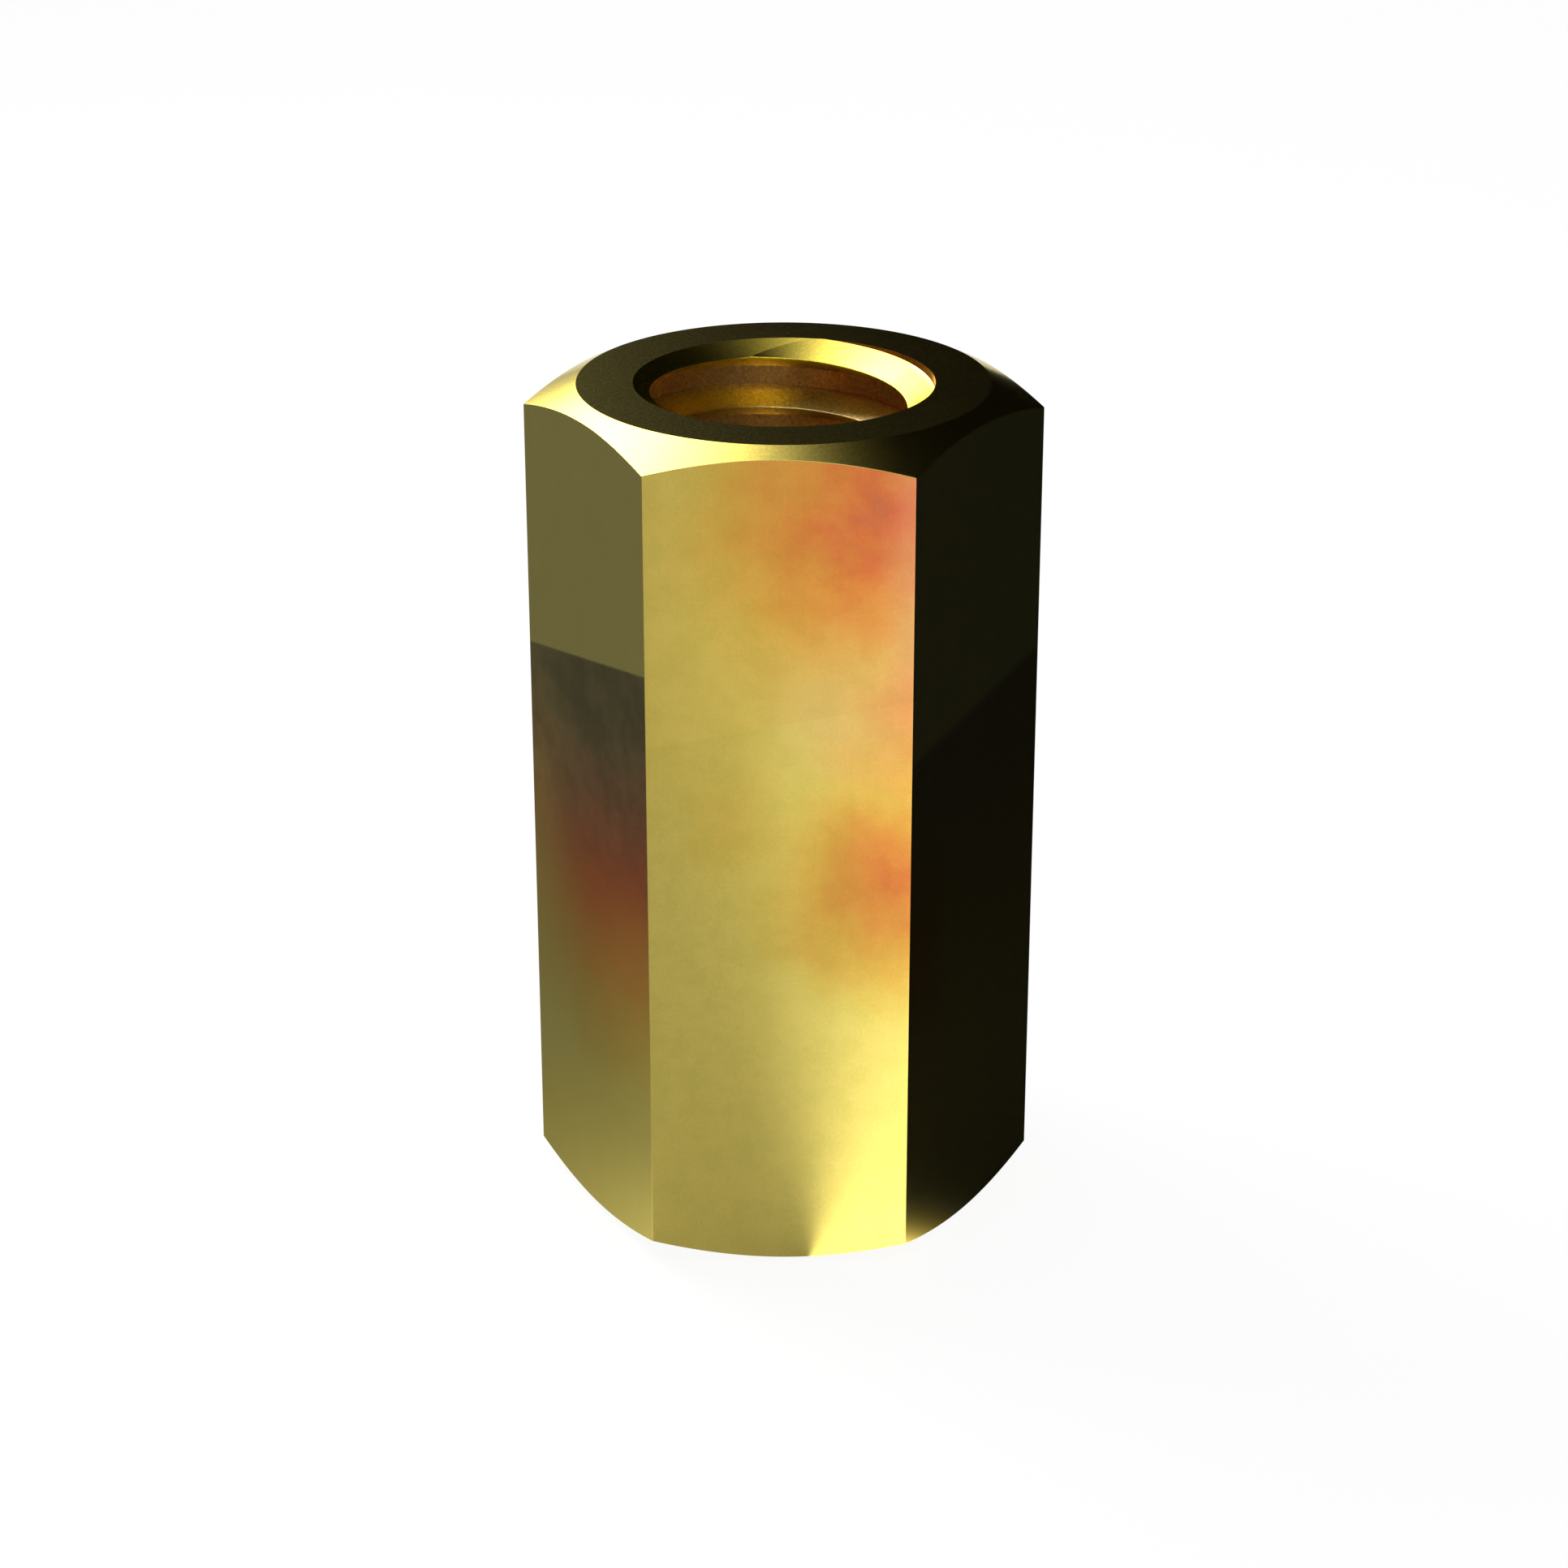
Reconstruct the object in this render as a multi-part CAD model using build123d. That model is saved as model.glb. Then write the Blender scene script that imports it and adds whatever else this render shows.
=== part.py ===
from build123d import *
from build123d.topology import SkipClean
import os
from math import ceil, cos, radians, tan

# Coupling nut: a length of hexagonal brass bar with a thread right through it.
# It stands on one end face. The origin is the middle of that face, Z runs along
# the bore, and two of the six flats face -Y and +Y. Sizes are in millimetres
# and angles in degrees.

# Hexagonal bar
sides = 6
across_flats = 6.0
length = 11.7

# Outer chamfer, turned on both ends, which leaves a flat ring inside it
ring_diameter = 5.51
chamfer_angle = 26.0  # between the chamfer and the end face

# Hole, and the countersink at each of its mouths
bore_diameter = 3.3
mouth_diameter = 4.0
mouth_angle = 23.0  # between the countersink and the end face

# Right-hand M4 thread. Its crest is what the drill left, and its root is flat.
thread_diameter = 4.03
thread_pitch = 0.7
crest_width = 0.02
flank_angle = 30.0  # between a flank and a plane across the axis
thread_start = 9.0  # where the groove's middle leaves the top face, round from +X

# How far a cutting tool reaches past the metal that it takes away
overcut = 0.1
spare_turns = 2  # of the thread's tool: one above the top face and one below the bottom face


def rise(run, angle):
    """Height gained along a slope that starts level with an end face."""
    return run * tan(radians(angle))


def hexagonal_bar():
    """The bar as it is sawn off, with its corners still sharp."""
    section = RegularPolygon(across_flats / 2, sides, major_radius=False)
    return extrude(section, length)


def turned_envelope():
    """What the lathe leaves room for: a cylinder that clears the corners, coned at both ends."""
    ring = ring_diameter / 2
    corner = across_flats / 2 / cos(radians(180 / sides))
    outside = corner + overcut
    drop = rise(outside - ring, chamfer_angle)
    half_section = Polygon(
        (0, 0),
        (ring, 0),
        (outside, drop),
        (outside, length - drop),
        (ring, length),
        (0, length),
        align=None,
    )
    return revolve(Plane.XZ * half_section, Axis.Z)


def hole_sectors():
    """The drilled and countersunk hole, as one sector behind each flat."""
    bore = bore_diameter / 2
    mouth = mouth_diameter / 2
    sink = rise(mouth - bore, mouth_angle)
    half_section = Polygon(
        (0, 0),
        (mouth, 0),
        (bore, sink),
        (bore, length - sink),
        (mouth, length),
        (0, length),
        align=None,
    )
    sector = revolve(Plane.XZ * half_section, Axis.Z, 360 / sides)
    return [Rot(0, 0, 360 / sides * side) * sector for side in range(sides)]


def thread_turn():
    """One turn of the groove that the tap cuts, starting on +X with its middle at height 0.

    The flanks run on inside the crest by a quarter of its width, and the tool's
    body is then straight, so that one turn stays clear of the next.
    """
    root = thread_diameter / 2
    crest = bore_diameter / 2
    flank = rise(root - crest, flank_angle)
    run_on = crest_width / 4
    inner = crest - run_on / tan(radians(flank_angle))
    root_half = (thread_pitch - crest_width) / 2 - flank
    inner_half = (thread_pitch - crest_width) / 2 + run_on
    tooth = Polygon(
        (root, -root_half),
        (root, root_half),
        (inner, inner_half),
        (crest - overcut, inner_half),
        (crest - overcut, -inner_half),
        (inner, -inner_half),
        align=None,
    )
    path = Helix(thread_pitch, thread_pitch, root)
    return sweep(Plane.XZ * tooth, path=path, is_frenet=True)


def thread_turns():
    """All the turns of the groove, from above the top face down, one pitch apart."""
    turn = Rot(0, 0, thread_start) * thread_turn()
    count = ceil(length / thread_pitch) + spare_turns
    return [Pos(0, 0, length - thread_pitch * step) * turn for step in range(count)]


def coupling_nut():
    """The finished nut, one solid: sawn, chamfered, drilled, countersunk and tapped.

    Neighbouring faces aren't merged, so the wall stays six arcs, and the crest
    of the thread comes out as a chain of short strips, not one long spiral.
    """
    blank = hexagonal_bar() & turned_envelope()
    with SkipClean():
        drilled = blank.solid().cut(*hole_sectors())
        return drilled.cut(*thread_turns()).solid()


nut = coupling_nut()
nut.label = "coupling_nut"

os.makedirs("parts", exist_ok=True)
export_step(nut, "parts/coupling_nut.step")

print(f"volume {nut.volume:.2f} mm3, faces {len(nut.faces())}, valid {nut.is_valid}")
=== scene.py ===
# %% [markdown]
# # A brass coupling nut
#
# The nut is a length of hexagonal brass bar, chamfered at both ends, drilled,
# countersunk and tapped right through. It stands upright on one end face. The
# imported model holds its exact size. This file gives it a finer skin and the
# finish that the photo shows: greenish gold flats with orange and slate stains,
# bright turned ends, and a warm, dark tapped hole.

# %% Load the frame
from math import ceil, cos, degrees, hypot, pi, radians, sin, tan

import bmesh
import bpy
from mathutils import Matrix, Vector


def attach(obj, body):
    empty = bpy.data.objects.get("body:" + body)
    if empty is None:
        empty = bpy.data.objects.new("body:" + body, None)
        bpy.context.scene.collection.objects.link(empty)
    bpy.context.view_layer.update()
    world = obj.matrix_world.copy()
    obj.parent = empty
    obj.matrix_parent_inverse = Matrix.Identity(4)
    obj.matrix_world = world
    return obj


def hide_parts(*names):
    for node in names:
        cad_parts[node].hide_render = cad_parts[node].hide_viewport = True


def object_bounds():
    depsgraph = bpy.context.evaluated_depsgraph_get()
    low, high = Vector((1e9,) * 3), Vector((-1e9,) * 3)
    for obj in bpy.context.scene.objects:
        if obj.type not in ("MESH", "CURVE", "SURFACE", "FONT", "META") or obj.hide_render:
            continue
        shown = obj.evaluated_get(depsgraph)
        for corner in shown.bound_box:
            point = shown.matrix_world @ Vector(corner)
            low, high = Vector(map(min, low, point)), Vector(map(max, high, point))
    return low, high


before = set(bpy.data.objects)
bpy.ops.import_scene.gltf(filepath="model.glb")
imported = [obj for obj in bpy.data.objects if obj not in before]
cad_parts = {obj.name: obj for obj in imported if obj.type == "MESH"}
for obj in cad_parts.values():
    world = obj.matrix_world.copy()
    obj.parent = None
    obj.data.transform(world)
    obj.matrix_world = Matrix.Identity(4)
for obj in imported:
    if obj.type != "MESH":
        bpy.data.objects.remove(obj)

cad_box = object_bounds()
MM = 0.001
across_flats = (cad_box[1].y - cad_box[0].y) / MM
length = (cad_box[1].z - cad_box[0].z) / MM
print(f"bar {across_flats:.2f} mm across flats, {length:.2f} mm long")

# %% [markdown]
# ## The bar
#
# On the real nut the six flats come from the drawing die, and the chamfer from
# the lathe: a cone that bites deepest at the corners, so its lower edge is an
# arc on each flat. A cylinder with six sides and a bevel can't give that arc.
# Here the skin is built column by column instead, in millimetres. Each column
# follows the cone only as far as its own place on the hexagon, so the arcs come
# out by themselves.

# %% Bar sizes
sides = 6
apothem = across_flats / 2
side_step = radians(360 / sides)
half_side = apothem * tan(side_step / 2)
ring_radius = 2.755
chamfer_slope = tan(radians(26))
edge_radius = 0.014
worn_width = 0.07
mouth_radius = 2.0
print(f"flats {2 * half_side:.2f} mm wide, end ring {2 * ring_radius:.2f} mm across")

# %% [markdown]
# ## The bar from above
#
# The columns stand on an outline of six flats, with corners that are only just
# broken. The arc of the chamfer is as smooth as the columns are narrow, so each
# flat gets many. The last two stand close together, to keep wear at the corner.

# %% Outline of the bar
columns_a_flat = 28
arc_steps = 4


def bar_outline():
    """Points round the hexagon with its corners just broken, in millimetres."""
    points = []
    reach = half_side - edge_radius * tan(side_step / 2)
    inside = reach - worn_width
    for side in range(sides):
        facing = side * side_step - pi / 2
        outward = Vector((cos(facing), sin(facing)))
        sideways = Vector((-outward.y, outward.x))
        stops = [inside * (2 * step / columns_a_flat - 1) for step in range(columns_a_flat + 1)]
        for across in [-reach] + stops + [reach]:
            points.append(outward * apothem + sideways * across)
        corner = facing + side_step / 2
        centre = Vector((cos(corner), sin(corner))) * (apothem - edge_radius) / cos(side_step / 2)
        for step in range(1, arc_steps):
            angle = facing + side_step * step / arc_steps
            points.append(centre + Vector((cos(angle), sin(angle))) * edge_radius)
    return points


outline = bar_outline()
print(f"bar outline: {len(outline)} points")

# %% [markdown]
# ## The bar from the side
#
# A column goes out along the end ring, down the cone and down the flat, and the
# lower end is the same turned over. Both bends are rounded, because an edge with
# no radius never catches the light, and a row on each side keeps wear close.

# %% Skin of the bar
def fillet(corner, entry, leaving, radius, steps):
    """Points of a small arc that rounds a corner between two directions in the plane."""
    turn = entry.angle(leaving)
    back = radius * tan(turn / 2)
    start, end = corner - entry * back, corner + leaving * back
    points = []
    for step in range(steps + 1):
        share = step / steps
        middle = (1 - share) ** 2 * start + 2 * share * (1 - share) * corner + share ** 2 * end
        points.append(middle)
    return points


def end_profile(reach):
    """Distance out and depth below the end face, from the end ring to a point on the flat."""
    level, down = Vector((1, 0)), Vector((0, 1))
    cone = Vector((1, chamfer_slope)).normalized()
    edge = Vector((reach, (reach - ring_radius) * chamfer_slope))
    ring = Vector((ring_radius, 0))
    profile = [Vector((mouth_radius + worn_width, 0)), ring - level * worn_width]
    profile += fillet(ring, level, cone, edge_radius, arc_steps)
    profile += [ring + cone * worn_width, edge - cone * worn_width]
    profile += fillet(edge, cone, down, edge_radius, arc_steps)
    profile += [edge + down * worn_width]
    return profile


def solid_bar(outline):
    """The chamfered bar before it is drilled."""
    mesh = bmesh.new()
    rows = None
    for point in outline:
        reach = point.length
        outward = point / reach
        top = end_profile(reach)
        whole = [(out, length - depth) for out, depth in top]
        whole += [(out, depth) for out, depth in reversed(top)]
        column = [mesh.verts.new((outward.x * out, outward.y * out, height)) for out, height in whole]
        rows = rows or [[] for _ in column]
        for row, vertex in zip(rows, column):
            row.append(vertex)
    count = len(rows[0])
    for upper, lower in zip(rows, rows[1:]):
        for here in range(count):
            after = (here + 1) % count
            mesh.faces.new((upper[here], lower[here], lower[after], upper[after]))
    mesh.faces.new(rows[0])
    mesh.faces.new(reversed(rows[-1]))
    return mesh


def as_object(name, mesh):
    """A new object in the scene from a bmesh, which is freed."""
    data = bpy.data.meshes.new(name)
    mesh.normal_update()
    mesh.to_mesh(data)
    mesh.free()
    piece = bpy.data.objects.new(name, data)
    bpy.context.scene.collection.objects.link(piece)
    return piece


nut = as_object("nut", solid_bar(outline))
print(f"bar skin: {len(nut.data.polygons)} faces")

# %% [markdown]
# ## The tap
#
# The maker runs a tap through the drilled hole. A thread could be a spiral of
# small faces joined to the bar by hand, but where it runs out at a mouth the
# joins are awkward. It is easier to make the tap itself, a long right-hand screw
# that is as thick as the drill between its threads, and to cut it away. Its last
# column of points joins the first one a turn further up.

# %% Shape of the tap
bore_radius = 1.65
root_radius = 2.015
pitch = 0.7
crest_width = 0.02
flank_slope = tan(radians(30))
thread_start = 9.0
steps_a_turn = 180
spare_turns = 3


def tap():
    """A right-hand screw shape, longer than the bar, whose rows follow the helix."""
    flank = (root_radius - bore_radius) * flank_slope
    crest_half = (pitch - crest_width) / 2
    root_half = crest_half - flank
    section = [
        (-crest_half, bore_radius),
        (-root_half, root_radius),
        (root_half, root_radius),
        (crest_half, bore_radius),
    ]
    turns = ceil(length / pitch) + spare_turns
    lowest = length - pitch * (turns - 1)
    mesh = bmesh.new()
    columns = []
    for step in range(steps_a_turn):
        angle = radians(thread_start) + 2 * pi * step / steps_a_turn
        lift = lowest + pitch * step / steps_a_turn
        column = []
        for turn in range(turns):
            for along, out in section:
                height = lift + pitch * turn + along
                column.append(mesh.verts.new((cos(angle) * out, sin(angle) * out, height)))
        columns.append(column)
    a_turn = len(section)
    for step in range(steps_a_turn):
        here = columns[step]
        last = step + 1 == steps_a_turn
        after = columns[0][a_turn:] if last else columns[step + 1]
        for row in range(len(after) - 1):
            mesh.faces.new((here[row], after[row], after[row + 1], here[row + 1]))
    close_ends(mesh)
    return mesh


def close_ends(mesh):
    """Closes both open ends of a turned shape with a fan of triangles from the axis."""
    middle = sum(vertex.co.z for vertex in mesh.verts) / len(mesh.verts)
    open_edges = [edge for edge in mesh.edges if edge.is_boundary]
    heights = [edge.verts[0].co.z for edge in open_edges]
    top = mesh.verts.new((0, 0, max(heights)))
    bottom = mesh.verts.new((0, 0, min(heights)))
    for edge in open_edges:
        tip = top if edge.verts[0].co.z > middle else bottom
        mesh.faces.new((edge.verts[0], edge.verts[1], tip))
    bmesh.ops.recalc_face_normals(mesh, faces=mesh.faces)


print(f"tap: {2 * root_radius:.2f} mm across, {pitch:.2f} mm pitch")

# %% [markdown]
# ## Countersinks and cutting
#
# Both mouths are opened by a shallow cone, which here is a solid tool too. The
# cuts are made with exact booleans, in the shop's own order. A boolean is only
# a modifier at first, so each one is settled into the mesh before its tool goes.

# %% Cut the hole
sink_slope = tan(radians(23))
overrun = 0.1


def countersink(end, inward):
    """The cone that opens a mouth, on the end face at height end, cutting inward."""
    mesh = bmesh.new()
    rows = []
    for out in (mouth_radius + overrun, mouth_radius - worn_width, bore_radius - overrun):
        height = end + inward * (mouth_radius - out) * sink_slope
        row = []
        for step in range(steps_a_turn):
            angle = 2 * pi * step / steps_a_turn
            row.append(mesh.verts.new((cos(angle) * out, sin(angle) * out, height)))
        rows.append(row)
    for outer, inner in zip(rows, rows[1:]):
        for here in range(steps_a_turn):
            after = (here + 1) % steps_a_turn
            mesh.faces.new((outer[here], outer[after], inner[after], inner[here]))
    mesh.faces.new(rows[0])
    mesh.faces.new(rows[-1])
    bmesh.ops.recalc_face_normals(mesh, faces=mesh.faces)
    return mesh


def settle(piece):
    """Makes what a piece's modifiers show its own mesh."""
    graph = bpy.context.evaluated_depsgraph_get()
    settled = bpy.data.meshes.new_from_object(piece.evaluated_get(graph))
    piece.modifiers.clear()
    piece.data = settled


def cut_away(piece, tool):
    """Takes a tool's solid out of a piece, for good, and throws the tool away."""
    cut = piece.modifiers.new("cut", "BOOLEAN")
    cut.operation = "DIFFERENCE"
    cut.solver = "EXACT"
    cut.object = tool
    settle(piece)
    bpy.data.objects.remove(tool)


cut_away(nut, as_object("upper countersink", countersink(length, -1)))
cut_away(nut, as_object("lower countersink", countersink(0, 1)))
cut_away(nut, as_object("tap", tap()))
print(f"tapped skin: {len(nut.data.polygons)} faces")

# %% [markdown]
# ## Edges
#
# Smooth shading on its own would bend the light on the flats near every edge.
# So every edge that really turns is marked sharp, and the normals are weighted
# by area, which keeps the big flats flat. In the hole a slight turn counts too,
# so that the thread's run-out shows, but its narrow crest stays smooth and looks
# round. Points on a sharp edge also get a value of 1 in an attribute, which
# fades to 0 over the narrow rows beside them: there the metal is worn.

# %% Mark the sharp edges
sharp_turn, hole_turn = radians(16), radians(4.5)
crest_reach, crest_upright = bore_radius + 0.003, 0.3
mouth_reach = mouth_radius - 0.01
weld = 0.0002


def on_crest(edge):
    """Whether an edge runs along the narrow crest of the thread."""
    for face in edge.link_faces:
        if hypot(*face.calc_center_median().xy) < crest_reach and abs(face.normal.z) < crest_upright:
            return True
    return False


def in_hole(edge):
    """Whether an edge lies inside the mouth."""
    return all(hypot(*vertex.co.xy) < mouth_reach for vertex in edge.verts)


def mark_edges(piece):
    """Marks sharp edges and writes how worn each point is."""
    mesh = bmesh.new()
    mesh.from_mesh(piece.data)
    bmesh.ops.remove_doubles(mesh, verts=mesh.verts, dist=weld)
    worn = mesh.verts.layers.float.new("worn")
    for face in mesh.faces:
        face.smooth = True
    for edge in mesh.edges:
        turn = edge.calc_face_angle(0)
        limit = hole_turn if in_hole(edge) else sharp_turn
        edge.smooth = turn < limit or on_crest(edge)
        if turn > sharp_turn:
            for vertex in edge.verts:
                vertex[worn] = 1
    mesh.to_mesh(piece.data)
    mesh.free()
    weights = piece.modifiers.new("weighted normals", "WEIGHTED_NORMAL")
    weights.keep_sharp = True
    settle(piece)


mark_edges(nut)
nut.data.transform(Matrix.Scale(MM, 4))
print(f"finished skin: {len(nut.data.polygons)} faces, now in metres")

# %% [markdown]
# ## Surfaces
#
# The die, the lathe, the countersink and the tap each leave their own surface.
# Which tool made a face is told by where it is and how it faces, so nothing is
# picked by hand. The open flank of the first turn is as smooth as the countersink
# that it runs out through, and is sorted with it.

# %% Sort the surfaces
ring_upright, cone_upright = 0.99, 0.5
sink_upright, flank_upright = 0.89, 0.8
open_depth = 0.19
flat_names = {
    -90: "front flat",
    -30: "right flat",
    30: "right rear flat",
    90: "rear flat",
    150: "left rear flat",
    -150: "left flat",
}


def surface_of(face):
    """Which surface of the nut a face belongs to."""
    normal = face.normal
    upright = abs(normal.z)
    faces_axis = face.center.x * normal.x + face.center.y * normal.y < 0
    if faces_axis and upright < ring_upright:
        from_end = min(face.center.z, length * MM - face.center.z)
        open_flank = upright > flank_upright and from_end < open_depth * MM
        return "countersink" if upright > sink_upright or open_flank else "thread"
    if upright > cone_upright:
        return "end ring" if upright > ring_upright else "chamfer"
    facing = degrees(Vector((normal.x, normal.y)).angle_signed(Vector((1, 0))))
    return flat_names[min(flat_names, key=lambda angle: abs((facing - angle + 180) % 360 - 180))]


surfaces = {}
for face in nut.data.polygons:
    surfaces.setdefault(surface_of(face), []).append(face.index)
for name, faces in surfaces.items():
    print(f"{name}: {len(faces)} faces")

# %% [markdown]
# ## Shader helpers
#
# Brass has no paint on it, so its finish is three things: the tint of what it
# mirrors, how sharply it mirrors, and fine relief. All three are made by nodes.
# The helpers here feed nodes and do sums, which keeps the later code short.

# %% Node helpers
def plug(tree, slot, value):
    """Links a socket to a slot, or sets the slot to a number, a vector or a colour."""
    if isinstance(value, bpy.types.NodeSocket):
        tree.links.new(value, slot)
    else:
        slot.default_value = value


def feed(tree, node, *values):
    """Plugs values into a node's inputs, in order."""
    for slot, value in zip(node.inputs, values):
        plug(tree, slot, value)
    return node


def calc(tree, operation, *values, clamp=False):
    """The answer of a Math node."""
    node = tree.nodes.new("ShaderNodeMath")
    node.operation = operation
    node.use_clamp = clamp
    return feed(tree, node, *values).outputs[0]


def vector_calc(tree, operation, *values):
    """The answer of a Vector Math node, a number for a length or a dot product."""
    node = tree.nodes.new("ShaderNodeVectorMath")
    node.operation = operation
    feed(tree, node, *values)
    return node.outputs["Value" if operation in ("LENGTH", "DISTANCE", "DOT_PRODUCT") else "Vector"]


def split(tree, place):
    """The X, Y and Z of a place."""
    node = tree.nodes.new("ShaderNodeSeparateXYZ")
    return feed(tree, node, place).outputs


def smooth_step(tree, value, low, high, to_low=0.0, to_high=1.0):
    """A value eased from one level to another between two limits."""
    node = tree.nodes.new("ShaderNodeMapRange")
    node.interpolation_type = "SMOOTHSTEP"
    feed(tree, node, value, low, high, to_low, to_high)
    return node.outputs["Result"]


def noise(tree, place, scale, detail, roughness=0.5, output="Fac"):
    """What a noise texture gives at a place: a value, or three of them as a colour."""
    node = tree.nodes.new("ShaderNodeTexNoise")
    tree.links.new(place, node.inputs["Vector"])
    node.inputs["Scale"].default_value = scale
    node.inputs["Detail"].default_value = detail
    node.inputs["Roughness"].default_value = roughness
    return node.outputs[output]


def blend_colours(tree, share, first, second, mode="MIX"):
    """Two colours mixed by a share."""
    node = tree.nodes.new("ShaderNodeMix")
    node.data_type = "RGBA"
    node.blend_type = mode
    plug(tree, node.inputs[0], share)
    plug(tree, node.inputs[6], first)
    plug(tree, node.inputs[7], second)
    return node.outputs[2]


print("node helpers are ready")

# %% [markdown]
# ## Node groups
#
# The same few effects turn up on several surfaces, so each one is a node group
# with named sockets, made once and placed in every material that needs it, with
# values of its own.

# %% Node group helpers
def new_group(name, inputs, output, kind="Float"):
    """An empty node group with named inputs and one output; gives its tree and its inner sockets."""
    tree = bpy.data.node_groups.new(name, "ShaderNodeTree")
    for socket, value in inputs.items():
        taken = "Vector" if isinstance(value, tuple) else "Float"
        made = tree.interface.new_socket(socket, in_out="INPUT", socket_type="NodeSocket" + taken)
        made.default_value = value
    tree.interface.new_socket(output, in_out="OUTPUT", socket_type="NodeSocket" + kind)
    given = tree.nodes.new("NodeGroupInput").outputs
    result = tree.nodes.new("NodeGroupOutput").inputs[output]
    return tree, given, result


def use_group(tree, group, **values):
    """The answer of a node group placed in a tree, with its own values."""
    node = tree.nodes.new("ShaderNodeGroup")
    node.node_tree = group
    for name, value in values.items():
        plug(tree, node.inputs[name], value)
    return node.outputs[0]


print("group helpers are ready")

# %% [markdown]
# ## A place on the bar, in millimetres
#
# Stains, painted reflections, painted light and shade, and drawing marks are
# set out on a flat the way a fitter would measure them: so many millimetres
# across from its middle, and so many up from the bottom end. This group turns
# the nut's own coordinates until the flat faces forward, and scales them to
# millimetres.

# %% Group: flat place
flat_place, given, result = new_group("flat place", {"Facing": -pi / 2}, "Place", "Vector")
source = flat_place.nodes.new("ShaderNodeTexCoord").outputs["Object"]
spin = flat_place.nodes.new("ShaderNodeVectorRotate")
spin.rotation_type = "Z_AXIS"
flat_place.links.new(source, spin.inputs["Vector"])
flat_place.links.new(calc(flat_place, "SUBTRACT", -pi / 2, given["Facing"]), spin.inputs["Angle"])
in_mm = vector_calc(flat_place, "MULTIPLY", spin.outputs["Vector"], (1 / MM, 1 / MM, 1 / MM))
flat_place.links.new(in_mm, result)
print("made group:", flat_place.name)

# %% [markdown]
# ## Tarnish and painted reflections
#
# A thin film of copper oxide grew on this bar unevenly. As it thickens, its
# colour goes from brass through amber, orange and red to brown and slate. So
# one number, the film's thickness, is enough for the whole family of stains,
# and a colour ramp turns it into a tint. On the front and side flats the same
# ramp also colours painted reflections.

# %% Group: film and reflection colour
bare_brass = (0.62, 0.512, 0.127, 1)
film_and_reflection_stops = (
    (0.00, bare_brass),
    (0.10, (0.620, 0.465, 0.096, 1)),
    (0.20, (0.620, 0.422, 0.081, 1)),
    (0.30, (0.620, 0.372, 0.065, 1)),
    (0.40, (0.620, 0.310, 0.056, 1)),
    (0.50, (0.620, 0.260, 0.050, 1)),
    (0.60, (0.615, 0.209, 0.046, 1)),
    (0.70, (0.600, 0.159, 0.045, 1)),
    (0.76, (0.550, 0.149, 0.055, 1)),
    (0.82, (0.490, 0.176, 0.069, 1)),
    (0.88, (0.360, 0.176, 0.073, 1)),
    (0.94, (0.300, 0.195, 0.077, 1)),
    (1.00, (0.223, 0.175, 0.069, 1)),
)
film_and_reflection_colour, given, result = new_group("film and reflection colour", {"Thickness": 0.0}, "Color", "Color")
ramp = film_and_reflection_colour.nodes.new("ShaderNodeValToRGB")
stops = ramp.color_ramp.elements
stops[0].color, stops[-1].color = film_and_reflection_stops[0][1], film_and_reflection_stops[-1][1]
for position, colour in film_and_reflection_stops[1:-1]:
    stops.new(position).color = colour
film_and_reflection_colour.links.new(given["Thickness"], ramp.inputs["Fac"])
film_and_reflection_colour.links.new(ramp.outputs["Color"], result)
print(f"made group: {film_and_reflection_colour.name}, {len(film_and_reflection_stops)} colours")

# %% [markdown]
# ## A cloud's outline
#
# The stains are soft ragged clouds, and so are the painted reflections, light
# and shade on the flats. They could be painted as an image, but then the nut
# would need unwrapping, and the paint would blur close up. Here a cloud is an
# oval whose coordinates are pushed about by noise before its distance from the
# centre is taken, which tears its edge into wisps.

# %% Group: stain and light cloud
stain_and_light_cloud, given, result = new_group(
    "stain and light cloud",
    {"Place": (0, 0, 0), "Centre": (0, 0, 0), "Reach": (1, 1, 1), "Raggedness": 0.35},
    "Cover",
)
billow = noise(stain_and_light_cloud, given["Place"], 0.9, 3.0, 0.55, "Color")
push = vector_calc(stain_and_light_cloud, "SUBTRACT", billow, (0.5, 0.5, 0.5))
push = vector_calc(stain_and_light_cloud, "MULTIPLY", push, calc(stain_and_light_cloud, "MULTIPLY", given["Raggedness"], 4.0))
offset = vector_calc(stain_and_light_cloud, "SUBTRACT", given["Place"], given["Centre"])
offset = vector_calc(stain_and_light_cloud, "ADD", offset, push)
offset = vector_calc(stain_and_light_cloud, "MULTIPLY", offset, (1, 0, 1))
offset = vector_calc(stain_and_light_cloud, "DIVIDE", offset, given["Reach"])
away = vector_calc(stain_and_light_cloud, "LENGTH", offset)
stain_and_light_cloud.links.new(smooth_step(stain_and_light_cloud, away, 1.0, 0.0), result)
print("made group:", stain_and_light_cloud.name)

# %% [markdown]
# ## Tool marks
#
# The drawing die leaves faint lines along the flats, and the lathe leaves fine
# rings round the axis. All of the metal has a grain too, finer than either. The
# marks are far too shallow to model, so the lines are noise drawn out along the
# bar, the rings are a wave over the radius, and the grain is very fine noise.

# %% Groups: drawn lines, turned rings and fine grain
drawn_lines, given, result = new_group("drawn lines", {"Place": (0, 0, 0)}, "Height")
stretched = vector_calc(drawn_lines, "MULTIPLY", given["Place"], (16.0, 1.0, 0.35))
drawn_lines.links.new(noise(drawn_lines, stretched, 1.0, 3.0, 0.6), result)

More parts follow.
